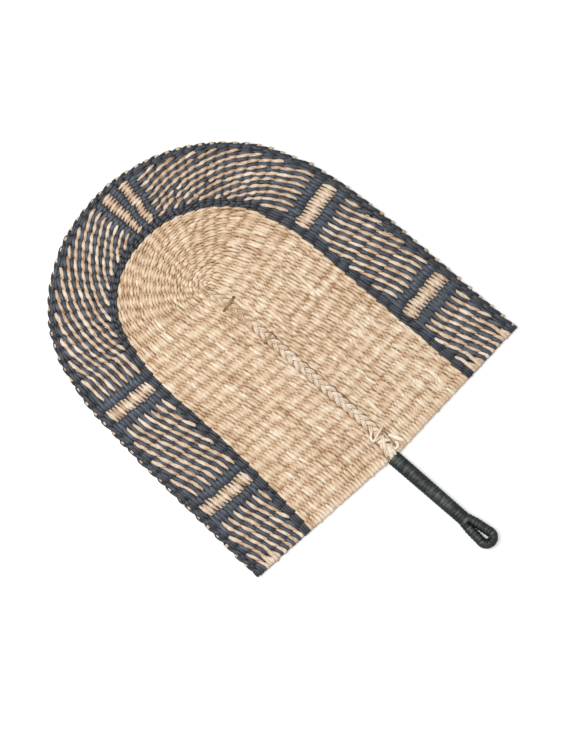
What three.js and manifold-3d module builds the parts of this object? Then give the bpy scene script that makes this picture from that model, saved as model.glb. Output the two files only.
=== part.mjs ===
// A woven seagrass hand fan lying on its back: a U-shaped twined blade, a plaited spine and a bound handle.
// Millimetres. The origin is the middle of the crown on the back plane, +Y runs up the spine, +Z faces the front.
import * as THREE from "three";
import { mergeVertices } from "three/addons/utils/BufferGeometryUtils.js";
import Module from "manifold-3d";

// Spokes
const CROSS_SPOKE_COUNT = 19;
const SPOKE_PITCH = 11;
const FIRST_SPOKE_DROP = 11.2;
const CROWN_SPOKE_COUNT = 19;
const CROWN_FIRST_ANGLE = 8;
const CROWN_LAST_ANGLE = 168.4;
const SPOKE_DIAMETER = 2.6;
const TINE_DIAMETER = 2.2;
const ROOT_DIAMETER = 1.2;
const ROOT_DISTANCE = 18;
const TIP_PROUD = 0.6;
const LEFT_TILT_TOP = 10.5;
const LEFT_TILT_FOOT = 7.7;
const RIGHT_TILT_TOP = 6.3;
const RIGHT_TILT_FOOT = -2.3;

// Outline of the blade and of its pale field. Each half of the crown is a quarter of an oval that leans to the
// right. Below it the half-widths run from the shoulder to the foot, and draw in over the spokes near the crown.
const CROWN_LEAN = 20;
const CROWN_HEIGHT = 123.2;
const LEFT_CROWN_REACH = 138.7;
const RIGHT_CROWN_REACH = 142;
const LEFT_EDGE_SHOULDER = 143;
const LEFT_EDGE_FOOT = 154.7;
const LEFT_EDGE_DRAW = 3.2;
const RIGHT_EDGE_SHOULDER = 148.5;
const RIGHT_EDGE_FOOT = 150.5;
const RIGHT_EDGE_DRAW = 7.3;
const EDGE_DRAW_SPOKES = 8;
const CROWN_FIELD_HEIGHT = 68.5;
const LEFT_CROWN_FIELD = 78.5;
const RIGHT_CROWN_FIELD = 85;
const LEFT_FIELD_SHOULDER = 85;
const LEFT_FIELD_FOOT = 94.5;
const LEFT_FIELD_FLARE = 3;
const LEFT_FIELD_DRAW = 4.6;
const RIGHT_FIELD_SHOULDER = 88.3;
const RIGHT_FIELD_FOOT = 90.3;
const RIGHT_FIELD_DRAW = 5.3;
const FIELD_DRAW_SPOKES = 3.6;
const INNER_BORDER_WIDTH = 7.1;
const OUTER_BORDER_WIDTH = 8.2;

// Weave
const WEFT_THICKNESS = 1;
const RIB_DEPTH = 0.6;
const RIB_LAND = 2.4;
const SELVEDGE_WIDTH = 3.6;
const SELVEDGE_BEVEL = 1.5;
const CLEARANCE = 0.3;

// Spine and plait
const SPINE_WIDTH = 10;
const SPINE_OFFSET = 4.7;
const SPINE_TIP_RISE = 3;
const TOP_VEER = 26;
const FOOT_VEER = 33;
const PLAIT_WIDTH = 8;
const PLAIT_STRAND_WIDTH = 2.2;
const PLAIT_STRAND_THICKNESS = 0.9;
const PLAIT_PERIOD = 22.8;
const PLAIT_TOP_DROP = 5;
const PLAIT_FOOT_INSET = 2;
const TIE_DIAMETER = 1.4;
const TIE_REACH = 7;
const TIE_DROPS = [21, 65, 189];

// Handle and hanging loop, sizes over the binding
const HANDLE_OFFSET = -2.3;
const HANDLE_LENGTH = 79;
const HANDLE_WIDTH_FOOT = 13.4;
const HANDLE_WIDTH_THROAT = 12.4;
const HANDLE_THICKNESS_FOOT = 7.3;
const HANDLE_THICKNESS = 9;
const HANDLE_SWELL = 25;
const LOOP_STRAND_DIAMETER = 7.6;
const LOOP_RADIUS = 6.4;
const LOOP_LENGTH = 34;
const TAPE_THICKNESS = 1.2;
const TAPE_PITCH = 3.5;
const TAPE_GAP = 0.6;
const WRAP_CLEARANCE = 0.4;
const MOST_TURNS = 24;

const { lerp, degToRad, smoothstep } = THREE.MathUtils;
const BLADE_THICKNESS = SPOKE_DIAMETER + 2 * (CLEARANCE + WEFT_THICKNESS);
const BLADE_MIDDLE = BLADE_THICKNESS / 2;
const FOOT_SPOKE_DROP = FIRST_SPOKE_DROP + (CROSS_SPOKE_COUNT - 1) * SPOKE_PITCH;
const FOOT_DROP = FOOT_SPOKE_DROP + SELVEDGE_WIDTH;
const NATURAL = new THREE.MeshStandardMaterial({ color: 0xd9bb8f, roughness: 0.8 });
const DYED = new THREE.MeshStandardMaterial({ color: 0x30353d, roughness: 0.8 });
const BINDING = new THREE.MeshStandardMaterial({ color: 0x262b2c, roughness: 0.7 });

const wasm = await Module();
wasm.setup();

function toManifold(geometry) {
  const mesh = new wasm.Mesh({
    numProp: 3,
    vertProperties: Float32Array.from(geometry.attributes.position.array),
    triVerts: Uint32Array.from(geometry.index.array),
  });
  return new wasm.Manifold(mesh);
}

function toGeometry(manifold) {
  const mesh = manifold.getMesh();
  const geometry = new THREE.BufferGeometry();
  geometry.setAttribute("position", new THREE.BufferAttribute(mesh.vertProperties, 3));
  geometry.setIndex(new THREE.BufferAttribute(mesh.triVerts, 1));
  return mergeVertices(geometry, 1e-3);
}

// A closed skin through rings of points that turn counter-clockwise about the way the rings travel
function loft(rings) {
  const sides = rings[0].length;
  const last = (rings.length - 1) * sides;
  const index = [];
  for (let ring = 0; ring < last; ring += sides) {
    for (let side = 0; side < sides; side += 1) {
      const a = ring + side;
      const b = ring + ((side + 1) % sides);
      index.push(a, b, b + sides, a, b + sides, a + sides);
    }
  }
  for (let side = 1; side + 1 < sides; side += 1) {
    index.push(0, side + 1, side, last, last + side, last + side + 1);
  }
  const geometry = new THREE.BufferGeometry();
  geometry.setAttribute("position", new THREE.Float32BufferAttribute(rings.flat().flatMap((p) => p.toArray()), 3));
  geometry.setIndex(index);
  return geometry;
}

// Rings of a many-sided section along a path; every step has a point, an up direction and two half-sizes
function sweepRings(steps, sides) {
  const turn = (2 * Math.PI) / sides;
  const start = sides % 4 === 0 ? turn / 2 : 0;
  const swell = 1 / Math.cos(turn / 2);
  return steps.map((step, i) => {
    const before = steps[Math.max(i - 1, 0)].point;
    const after = steps[Math.min(i + 1, steps.length - 1)].point;
    const travel = after.clone().sub(before).normalize();
    const across = step.up.clone().cross(travel).normalize();
    const up = travel.clone().cross(across);
    return Array.from({ length: sides }, (_, side) => {
      const angle = start + side * turn;
      return step.point
        .clone()
        .addScaledVector(across, swell * Math.cos(angle) * step.halfWidth)
        .addScaledVector(up, swell * Math.sin(angle) * step.halfHeight);
    });
  });
}

const sweep = (steps, sides) => loft(sweepRings(steps, sides));
const UP = new THREE.Vector3(0, 0, 1);
const round = (point, radius, up = UP) => ({ point, up, halfWidth: radius, halfHeight: radius });

// The two halves of the blade: half-widths and tilt of the cross spokes by number from the crown
const share = (number) => number / (CROSS_SPOKE_COUNT - 1);
const drawn = (draw, number, spokes) => draw * Math.max(1 - number / spokes, 0) ** 2;
const RIGHT = {
  sign: 1,
  edge: (number) =>
    lerp(RIGHT_EDGE_SHOULDER, RIGHT_EDGE_FOOT, share(number)) - drawn(RIGHT_EDGE_DRAW, number, EDGE_DRAW_SPOKES),
  field: (number) =>
    lerp(RIGHT_FIELD_SHOULDER, RIGHT_FIELD_FOOT, share(number)) - drawn(RIGHT_FIELD_DRAW, number, FIELD_DRAW_SPOKES),
  tilt: (number) => degToRad(lerp(RIGHT_TILT_TOP, RIGHT_TILT_FOOT, share(number))),
};
const LEFT = {
  sign: -1,
  edge: (number) =>
    lerp(LEFT_EDGE_SHOULDER, LEFT_EDGE_FOOT, share(number)) - drawn(LEFT_EDGE_DRAW, number, EDGE_DRAW_SPOKES),
  field: (number) =>
    lerp(LEFT_FIELD_SHOULDER, LEFT_FIELD_FOOT, share(number) ** LEFT_FIELD_FLARE) -
    drawn(LEFT_FIELD_DRAW, number, FIELD_DRAW_SPOKES),
  tilt: (number) => degToRad(lerp(LEFT_TILT_TOP, LEFT_TILT_FOOT, share(number))),
};

const spokeDrop = (number) => FIRST_SPOKE_DROP + number * SPOKE_PITCH;

// The middle of the spine: from the middle of the crown it runs right of centre and comes back to the handle
function spineX(y) {
  const upper = SPINE_OFFSET * smoothstep(-y, 0, TOP_VEER);
  return lerp(upper, HANDLE_OFFSET, smoothstep(-y, FOOT_DROP - FOOT_VEER, FOOT_DROP));
}

// Where a cross spoke meets the spine, the field's edge and the outline on one half
function crossLine(half, number) {
  const tilt = half.tilt(number);
  const drop = spokeDrop(number);
  const at = (reach) => new THREE.Vector2(half.sign * reach, reach * Math.tan(tilt) - drop);
  const slot = SPINE_WIDTH / 2 + CLEARANCE + half.sign * spineX(-drop);
  return {
    along: new THREE.Vector2(half.sign * Math.cos(tilt), Math.sin(tilt)),
    spine: at(slot),
    field: at(half.field(number)),
    edge: at(half.edge(number)),
    ribAtSpine: RIB_DEPTH,
  };
}

// The same for a crown spoke or tine that leaves the middle of the crown at an angle
function crownLine(angle) {
  const along = new THREE.Vector2(Math.cos(angle), Math.sin(angle));
  const leaning = along.clone().rotateAround(new THREE.Vector2(), degToRad(CROWN_LEAN));
  const oval = (left, right, height) => {
    const reach = leaning.x < 0 ? left : right;
    return along.clone().divideScalar(Math.hypot(leaning.x / reach, leaning.y / height));
  };
  return {
    along,
    spine: along.clone().multiplyScalar(SPINE_WIDTH / 2 + CLEARANCE),
    field: oval(LEFT_CROWN_FIELD, RIGHT_CROWN_FIELD, CROWN_FIELD_HEIGHT),
    edge: oval(LEFT_CROWN_REACH, RIGHT_CROWN_REACH, CROWN_HEIGHT),
    ribAtSpine: 0,
  };
}

// Crown tines, evenly spread; two to a spoke except for the single spoke in the middle
const TINE_COUNT = 2 * CROWN_SPOKE_COUNT - 1;
const MIDDLE_SPOKE = (CROWN_SPOKE_COUNT - 1) / 2;
const tineAngle = (number) => degToRad(lerp(CROWN_FIRST_ANGLE, CROWN_LAST_ANGLE, number / (TINE_COUNT - 1)));
function tinesOf(spoke) {
  const first = spoke <= MIDDLE_SPOKE ? 2 * spoke : 2 * spoke - 1;
  return spoke === MIDDLE_SPOKE ? [first] : [first, first + 1];
}
const crownAngle = (spoke) => {
  const angles = tinesOf(spoke).map(tineAngle);
  return angles.reduce((sum, angle) => sum + angle, 0) / angles.length;
};

// Lines in order from the right foot round the crown to the left foot
const crossNumbers = Array.from({ length: CROSS_SPOKE_COUNT }, (_, number) => number);
const crownNumbers = Array.from({ length: CROWN_SPOKE_COUNT }, (_, number) => number);
const tineNumbers = Array.from({ length: TINE_COUNT }, (_, number) => number);
const rightLines = crossNumbers.map((number) => crossLine(RIGHT, number)).reverse();
const leftLines = crossNumbers.map((number) => crossLine(LEFT, number));
const fieldLines = [...rightLines, ...crownNumbers.map((n) => crownLine(crownAngle(n))), ...leftLines];
const bandLines = [...rightLines, ...tineNumbers.map((n) => crownLine(tineAngle(n))), ...leftLines];

const offset = (point, along, distance) => point.clone().addScaledVector(along, distance);
const between = (a, b, share) => a.clone().lerp(b, share);

// A strip of weave between an inner and an outer edge. Its edges bend half-way between the lines;
// it is raised over every line where it is ribbed, and bevelled along both feet.
function strip(lines, innerOf, outerOf, ribbed) {
  const spans = lines.map((line) => ({
    inner: innerOf(line),
    outer: outerOf(line),
    along: line.along,
    ribAtSpine: line.ribAtSpine,
    innerDip: 0,
    outerDip: 0,
  }));
  const halfway = (a, b) => ({
    inner: between(a.inner, b.inner, 0.5),
    outer: between(a.outer, b.outer, 0.5),
    innerDip: ribbed ? (a.ribAtSpine + b.ribAtSpine) / 2 : 0,
    outerDip: ribbed ? RIB_DEPTH : 0,
  });
  const foot = (span) => {
    const down = new THREE.Vector2(span.along.y, -span.along.x);
    down.multiplyScalar(SELVEDGE_WIDTH * -Math.sign(down.y));
    return {
      inner: span.inner.clone().add(down),
      outer: span.outer.clone().add(down),
      innerDip: SELVEDGE_BEVEL,
      outerDip: SELVEDGE_BEVEL,
    };
  };
  const step = (from, to) => {
    const length = Math.min(RIB_LAND, from.distanceTo(to) / 2);
    return from.clone().add(to.clone().sub(from).setLength(length));
  };
  const land = (from, to) => ({
    inner: step(from.inner, to.inner),
    outer: step(from.outer, to.outer),
    innerDip: 0,
    outerDip: 0,
  });
  const final = spans.length - 1;
  const joints = spans.slice(1).map((span, i) => halfway(spans[i], span));
  const stops = [foot(spans[0]), ...joints, foot(spans[final])];
  const columns = spans.flatMap((span, i) => {
    const atFoot = i === 0 || i === final;
    const crest = atFoot ? span : halfway(stops[i], stops[i + 1]);
    const lands = [land(crest, stops[i]), land(crest, stops[i + 1])];
    return [stops[i], ...(ribbed ? lands : atFoot ? [span] : [])];
  });
  const corner = (flat, z) => new THREE.Vector3(flat.x, flat.y, z);
  return loft(
    [...columns, stops[final + 1]].map((column) => [
      corner(column.inner, column.innerDip),
      corner(column.inner, BLADE_THICKNESS - column.innerDip),
      corner(column.outer, BLADE_THICKNESS - column.outerDip),
      corner(column.outer, column.outerDip),
    ]),
  );
}

// A straw through flat places in the middle of the blade, or the passage that clears it on all sides
const STRAW_SIDES = 6;
const PASSAGE_SIDES = 4;
function straw(places, room) {
  const corners = room > 0 ? 1 / Math.cos(Math.PI / STRAW_SIDES) : 1;
  const steps = places.map(([flat, diameter]) => ({
    point: new THREE.Vector3(flat.x, flat.y, BLADE_MIDDLE),
    up: UP,
    halfWidth: (diameter / 2) * corners + room,
    halfHeight: diameter / 2 + room,
  }));
  return sweep(steps, room > 0 ? PASSAGE_SIDES : STRAW_SIDES);
}

// One straw right across the blade, bent a little where it goes through the spine
function crossSpoke(number, room) {
  const left = crossLine(LEFT, number);
  const right = crossLine(RIGHT, number);
  const places = [
    [offset(left.edge, left.along, TIP_PROUD + room), SPOKE_DIAMETER],
    [new THREE.Vector2(0, -spokeDrop(number)), SPOKE_DIAMETER],
    [offset(right.edge, right.along, TIP_PROUD + room), SPOKE_DIAMETER],
  ];
  return straw(places, room);
}

// One straw of the crown: thin at its root, split in two past the inner border
function crownSpoke(spoke, room) {
  const line = crownLine(crownAngle(spoke));
  const fork = offset(line.field, line.along, INNER_BORDER_WIDTH);
  const root = line.along.clone().multiplyScalar(ROOT_DISTANCE - room);
  const stem = [
    [root, ROOT_DIAMETER],
    [fork, SPOKE_DIAMETER],
  ];
  const tines = tinesOf(spoke).map((tine) => {
    const end = crownLine(tineAngle(tine));
    return [
      [offset(fork, line.along, -SPOKE_DIAMETER / 2), TINE_DIAMETER],
      [offset(end.edge, end.along, TIP_PROUD + room), TINE_DIAMETER],
    ];
  });
  return wasm.Manifold.union([stem, ...tines].map((places) => toManifold(straw(places, room))));
}

// Handle and loop
const WRAP = WRAP_CLEARANCE + TAPE_THICKNESS;
const THROAT_Y = -FOOT_DROP - HANDLE_LENGTH;
const LOOP_CORE_RADIUS = LOOP_STRAND_DIAMETER / 2 - WRAP;
const LOOP_MIDDLE_Y = -FOOT_DROP - HANDLE_LENGTH - LOOP_LENGTH + LOOP_RADIUS + LOOP_STRAND_DIAMETER / 2;
const LEG_OFFSET = HANDLE_WIDTH_THROAT / 2 - WRAP - LOOP_CORE_RADIUS;
const LEG_DROP = THROAT_Y - LOOP_MIDDLE_Y;
const LEG_SLOPE = Math.atan2(LEG_DROP, LEG_OFFSET) - Math.acos(LOOP_RADIUS / Math.hypot(LEG_DROP, LEG_OFFSET));
const LEG_LENGTH = Math.sqrt(LEG_DROP ** 2 + LEG_OFFSET ** 2 - LOOP_RADIUS ** 2);
const LOOP_SWEEP = Math.PI + 2 * LEG_SLOPE;
const LOOP_PATH = 2 * LEG_LENGTH + LOOP_RADIUS * LOOP_SWEEP;
const LOOP_Z = HANDLE_THICKNESS / 2;

// A place on the loop's middle line by distance from the throat, down the right leg and up the left one
function loopPlace(distance) {
  if (distance > LOOP_PATH / 2) {
    const mirrored = loopPlace(LOOP_PATH - distance);
    const x = 2 * HANDLE_OFFSET - mirrored.point.x;
    return {
      point: new THREE.Vector3(x, mirrored.point.y, LOOP_Z),
      outward: new THREE.Vector3(-mirrored.outward.x, mirrored.outward.y, 0),
      bend: mirrored.bend,
    };
  }
  const turned = Math.max(distance - LEG_LENGTH, 0) / LOOP_RADIUS;
  const angle = LEG_SLOPE - turned;
  const outward = new THREE.Vector3(Math.cos(angle), Math.sin(angle), 0);
  const point = new THREE.Vector3(HANDLE_OFFSET, LOOP_MIDDLE_Y, LOOP_Z).addScaledVector(outward, LOOP_RADIUS);
  const backAlong = Math.max(LEG_LENGTH - distance, 0);
  point.x -= backAlong * Math.sin(LEG_SLOPE);
  point.y += backAlong * Math.cos(LEG_SLOPE);
  return { point, outward, bend: turned > 0 ? 1 / LOOP_RADIUS : 0 };
}

// Half-sizes and height of the bundle under the handle's binding
function handleCore(y) {
  const { clamp } = THREE.MathUtils;
  const share = clamp((-FOOT_DROP - y) / HANDLE_SWELL, 0, 1);
  const down = clamp((-FOOT_DROP - y) / HANDLE_LENGTH, 0, 1);
  const spread = Math.max(THROAT_Y - y, 0);
  const thickness = lerp(HANDLE_THICKNESS_FOOT, HANDLE_THICKNESS, share);
  const thin = clamp(spread / LOOP_STRAND_DIAMETER, 0, 1);
  return {
    halfWidth: lerp(HANDLE_WIDTH_FOOT, HANDLE_WIDTH_THROAT, down) / 2 - WRAP + spread * Math.tan(LEG_SLOPE),
    halfHeight: lerp(thickness / 2 - WRAP, LOOP_CORE_RADIUS, thin),
    z: thickness / 2,
  };
}

// The folded bundle: spine inside the blade, legs bound as the handle, fold round the loop
function coreBundle(room) {
  const CORE_SIDES = 8;
  const inscribed = Math.cos(Math.PI / CORE_SIDES);
  const spineStep = (y, halfWidth) => ({
    point: new THREE.Vector3(spineX(y), y, BLADE_MIDDLE),
    up: UP,
    halfWidth: halfWidth + room,
    halfHeight: BLADE_MIDDLE,
  });
  const handleStep = (y) => {
    const core = handleCore(y);
    return {
      point: new THREE.Vector3(spineX(y), y, core.z),
      up: UP,
      halfWidth: core.halfWidth * inscribed,
      halfHeight: core.halfHeight * inscribed,
    };
  };
  const lastSpoke = -FOOT_SPOKE_DROP - SPOKE_DIAMETER / 2 - 2 * CLEARANCE;
  const veer = (from, length, count) => {
    return Array.from({ length: count }, (_, i) => spineStep(from - (length * i) / (count - 1), SPINE_WIDTH / 2));
  };
  const bar = sweep(
    [
      spineStep(SPINE_TIP_RISE + room, SPINE_WIDTH / 4),
      ...veer(0, TOP_VEER, 5),
      ...veer(FOOT_VEER - FOOT_DROP, FOOT_VEER - FOOT_DROP - lastSpoke, 5),
      handleStep(-FOOT_DROP),
      handleStep(-FOOT_DROP - HANDLE_SWELL),
      handleStep(THROAT_Y),
      handleStep(THROAT_Y - LOOP_CORE_RADIUS),
    ],
    CORE_SIDES,
  );
  const LOOP_STEPS = 16;
  const loopSteps = Array.from({ length: LOOP_STEPS + 1 }, (_, i) => {
    const bend = (i - LOOP_STEPS / 2) / (LOOP_STEPS / 2 - 1);
    const middle = LOOP_PATH / 2 + (Math.min(Math.max(bend, -1), 1) * LOOP_RADIUS * LOOP_SWEEP) / 2;
    const distance = i === 0 ? 0 : i === LOOP_STEPS ? LOOP_PATH : middle;
    return round(loopPlace(distance).point, LOOP_CORE_RADIUS * inscribed);
  });
  return toManifold(bar).add(toManifold(sweep(loopSteps, CORE_SIDES)));
}

// The least distance between corners of a wound strip that lie at least half a turn apart
function leastGap(rings, stepsPerTurn) {
  let least = Infinity;
  rings.forEach((ring, i) => {
    rings.slice(i + stepsPerTurn / 2).forEach((other) => {
      ring.forEach((a) => other.forEach((b) => {
        least = Math.min(least, a.distanceTo(b));
      }));
    });
  });
  return least;
}

const TURN_STEPS = 8;
const TAPE_SIDES = 4;
const TAPE_ROOM = WRAP_CLEARANCE + TAPE_THICKNESS / 2;
const TAPE_HALF = (TAPE_PITCH - TAPE_GAP) / 2;
const turnAngle = (step) => (2 * Math.PI * (step + 0.5)) / TURN_STEPS;

// Straight ends, one strip width long, carry a winding on past its last turn
function withStraightEnds(steps) {
  const tail = (end, inner) => {
    const way = end.point.clone().sub(inner.point).normalize();
    return { ...end, point: end.point.clone().addScaledVector(way, 2 * TAPE_HALF) };
  };
  return [tail(steps[0], steps[1]), ...steps, tail(steps[steps.length - 1], steps[steps.length - 2])];
}

const LOOP_WRAP_START = (LOOP_STRAND_DIAMETER / 2 + CLEARANCE - LEG_OFFSET) / Math.sin(LEG_SLOPE) + TAPE_HALF;
const HANDLE_WRAP_START = -FOOT_DROP - CLEARANCE - TAPE_HALF - TAPE_GAP;
const HANDLE_WRAP_END = loopPlace(LOOP_WRAP_START).point.y + LOOP_STRAND_DIAMETER * Math.sin(LEG_SLOPE) + TAPE_PITCH;

// The strip wound round both legs, from the blade's foot to where the legs part
function handleBinding() {
  const length = HANDLE_WRAP_START - HANDLE_WRAP_END;
  const turns = Math.min(Math.floor(length / TAPE_PITCH), MOST_TURNS);
  const steps = Array.from({ length: turns * TURN_STEPS + 1 }, (_, i) => {
    const angle = turnAngle(i);
    const y = HANDLE_WRAP_START - (length * i) / (turns * TURN_STEPS);
    const core = handleCore(y);
    const leg = spineX(y) + Math.sign(Math.cos(angle)) * (core.halfWidth - core.halfHeight);
    const up = new THREE.Vector3(Math.cos(angle), 0, Math.sin(angle));
    const point = new THREE.Vector3(leg, y, core.z).addScaledVector(up, core.halfHeight + TAPE_ROOM);
    return { point, up, halfWidth: TAPE_HALF, halfHeight: TAPE_THICKNESS / 2 };
  });
  return sweepRings(withStraightEnds(steps), TAPE_SIDES);
}

// The strip wound round the loop; it crowds together on the inside of the bend
function loopBinding() {
  const length = LOOP_PATH - 2 * LOOP_WRAP_START;
  const turns = Math.min(Math.floor(length / TAPE_PITCH), MOST_TURNS);
  const pitch = length / turns;
  const radius = LOOP_CORE_RADIUS + TAPE_ROOM;
  const steps = Array.from({ length: turns * TURN_STEPS + 1 }, (_, i) => {
    const angle = turnAngle(i);
    const place = loopPlace(LOOP_WRAP_START + (length * i) / (turns * TURN_STEPS));
    const up = place.outward.clone().multiplyScalar(Math.cos(angle)).addScaledVector(UP, Math.sin(angle));
    const crowding = Math.min(1 + place.bend * (radius + TAPE_THICKNESS) * Math.cos(angle), 1);
    return {
      point: place.point.clone().addScaledVector(up, radius),
      up,
      halfWidth: (pitch * crowding - TAPE_GAP) / 2,
      halfHeight: TAPE_THICKNESS / 2,
    };
  });
  return sweepRings(withStraightEnds(steps), TAPE_SIDES);
}

// One strand of the plait on the front of the spine
const PLAIT_WAVE = PLAIT_STRAND_THICKNESS + CLEARANCE;
const PLAIT_BOTTOM = BLADE_THICKNESS + CLEARANCE;
const PLAIT_TOP = PLAIT_BOTTOM + PLAIT_STRAND_THICKNESS + 2 * PLAIT_WAVE;
function plaitStrand(number) {
  const PERIOD_STEPS = 9;
  const length = FOOT_DROP - PLAIT_FOOT_INSET - PLAIT_TOP_DROP;
  const count = Math.round((length / PLAIT_PERIOD) * PERIOD_STEPS);
  const swing = (PLAIT_WIDTH - PLAIT_STRAND_WIDTH) / 2;
  const steps = Array.from({ length: count + 1 }, (_, i) => {
    const y = -PLAIT_TOP_DROP - (length * i) / count;
    const phase = (2 * Math.PI * i) / PERIOD_STEPS + (2 * Math.PI * number) / 3;
    const z = (PLAIT_BOTTOM + PLAIT_TOP) / 2 + PLAIT_WAVE * Math.sin(2 * phase);
    return {
      point: new THREE.Vector3(spineX(y) + swing * Math.sin(phase), y, z),
      up: UP,
      halfWidth: PLAIT_STRAND_WIDTH / 2,
      halfHeight: PLAIT_STRAND_THICKNESS / 2,
    };
  });
  return sweep(steps, 4);
}

// A stitch over the plait, its ends on the weave on both sides
function plaitTie(drop) {
  const radius = TIE_DIAMETER / 2;
  const low = BLADE_THICKNESS + CLEARANCE + radius;
  const high = PLAIT_TOP + CLEARANCE + TIE_DIAMETER;
  const shoulder = (PLAIT_WIDTH + PLAIT_STRAND_WIDTH) / 4;
  const path = [
    [-TIE_REACH - TIE_DIAMETER, low],
    [-TIE_REACH + TIE_DIAMETER / 2, low + radius],
    [-shoulder, high],
    [shoulder, high],
    [TIE_REACH - TIE_DIAMETER / 2, low + radius],
    [TIE_REACH + TIE_DIAMETER, low],
  ];
  const middle = spineX(-drop);
  const side = new THREE.Vector3(0, 1, 0);
  return sweep(path.map(([x, z]) => round(new THREE.Vector3(middle + x, -drop, z), radius, side)), 6);
}

const fan = new THREE.Group();
fan.name = "woven_fan";
function add(name, shape, material) {
  const geometry = shape.isBufferGeometry ? shape : toGeometry(shape);
  const mesh = new THREE.Mesh(geometry, material);
  mesh.name = name;
  fan.add(mesh);
}
const numbered = (name, number) => `${name}_${String(number + 1).padStart(2, "0")}`;

const crossRoom = crossNumbers.map((number) => toManifold(crossSpoke(number, CLEARANCE)));
const crownRoom = crownNumbers.map((number) => crownSpoke(number, CLEARANCE));
const spokeRoom = wasm.Manifold.union([...crossRoom, ...crownRoom]);
const halfGap = CLEARANCE / 2;
const threaded = (geometry) => toManifold(geometry).subtract(spokeRoom);

const fieldEdge = (line) => offset(line.field, line.along, -halfGap);
const field = threaded(strip(fieldLines, (line) => line.spine, fieldEdge, true)).subtract(coreBundle(CLEARANCE));
add("field_weave", field, NATURAL);

const innerFrom = (line) => offset(line.field, line.along, halfGap);
const innerTo = (line) => offset(line.field, line.along, INNER_BORDER_WIDTH - halfGap);
add("inner_border", threaded(strip(bandLines, innerFrom, innerTo, false)), DYED);

const bandFrom = (line) => offset(line.field, line.along, INNER_BORDER_WIDTH + halfGap);
const bandTo = (line) => offset(line.edge, line.along, -OUTER_BORDER_WIDTH - halfGap);
const flatRib = bandLines.map((line) => ({ ...line, ribAtSpine: RIB_DEPTH }));
add("pattern_band", threaded(strip(flatRib, bandFrom, bandTo, true)), DYED);

const rimFrom = (line) => offset(line.edge, line.along, halfGap - OUTER_BORDER_WIDTH);
add("outer_border", threaded(strip(bandLines, rimFrom, (line) => line.edge, false)), DYED);

crossNumbers.forEach((number) => add(numbered("cross_spoke", number), crossSpoke(number, 0), NATURAL));
crownNumbers.forEach((number) => add(numbered("crown_spoke", number), crownSpoke(number, 0), NATURAL));

add("core_bundle", coreBundle(0).subtract(wasm.Manifold.union(crossRoom)), NATURAL);
[0, 1, 2].forEach((number) => add(numbered("plait_strand", number), plaitStrand(number), NATURAL));
TIE_DROPS.forEach((drop, number) => add(numbered("plait_tie", number), plaitTie(drop), NATURAL));

const handleRings = handleBinding();
const loopRings = loopBinding();
console.log("least gap in the handle binding", leastGap(handleRings, TURN_STEPS).toFixed(2), "mm");
console.log("least gap in the loop binding", leastGap(loopRings, TURN_STEPS).toFixed(2), "mm");
add("handle_binding", loft(handleRings), BINDING);
add("loop_binding", loft(loopRings), BINDING);

export default fan;
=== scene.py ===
import math

import bpy
import numpy as np
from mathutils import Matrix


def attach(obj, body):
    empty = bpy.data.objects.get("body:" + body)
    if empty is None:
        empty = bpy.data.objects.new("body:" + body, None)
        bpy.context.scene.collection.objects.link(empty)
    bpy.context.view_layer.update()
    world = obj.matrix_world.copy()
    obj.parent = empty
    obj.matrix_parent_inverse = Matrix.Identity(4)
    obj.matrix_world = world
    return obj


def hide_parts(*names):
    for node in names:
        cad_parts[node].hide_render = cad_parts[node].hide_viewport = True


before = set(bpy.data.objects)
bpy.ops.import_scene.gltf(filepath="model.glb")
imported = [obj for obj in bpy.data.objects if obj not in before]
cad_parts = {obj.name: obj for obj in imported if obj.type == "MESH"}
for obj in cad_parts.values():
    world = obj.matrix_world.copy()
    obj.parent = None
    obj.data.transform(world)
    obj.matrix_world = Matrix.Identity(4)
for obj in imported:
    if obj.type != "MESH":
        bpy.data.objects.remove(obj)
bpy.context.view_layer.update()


# Core bundle: a sheaf of round rush straws, folded on itself. Its two legs lie in the blade as the spine
# and in the handle, and the fold is the hanging loop. The weave and the windings hold the straws together.
# Sizes are millimetres, and a drop is the distance from the middle of the crown down towards the handle.
MM = 0.001
UP = np.array((0.0, 0.0, 1.0))
FOOT_DROP = 212.8
BLADE_MIDDLE = 2.6
SPINE_TOP, SPINE_TAIL = 5.2, 12
SPINE_OFFSET, SPINE_BEND, FOOT_BEND = 4.7, 26, 33
SPINE_COLUMNS = 7
SPINE_POINTS = 60
SPINE_TONE, SPINE_TONE_JITTER = 0.48, 0.12
STRAW_RADIUS = 0.74
STRAW_WOBBLE, WOBBLE_LENGTHS, ANY_PHASE = 0.25, (14, 22), (0, 6)
ROUNDED_TOP, ROUNDED_SIDE = 1.2, 0.35
GATHERED, GATHER_DROPS = 0.72, (FOOT_DROP - 6, FOOT_DROP + 4)
PLAIT_SHADE, PLAIT_COVERS = 0.4, (50, 80)
HANDLE_OFFSET = -2.3
HANDLE_LENGTH = 79
HANDLE_THICKNESSES = (7.3, 9.0)
THROAT = -FOOT_DROP - HANDLE_LENGTH
LEG_OFFSET = 3.0
LEG_HALF_WIDTH, LEG_HALF_THICKNESS = 2.0, 2.4
LEG_TONE = 0.4
LEG_POINTS = 24

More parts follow.
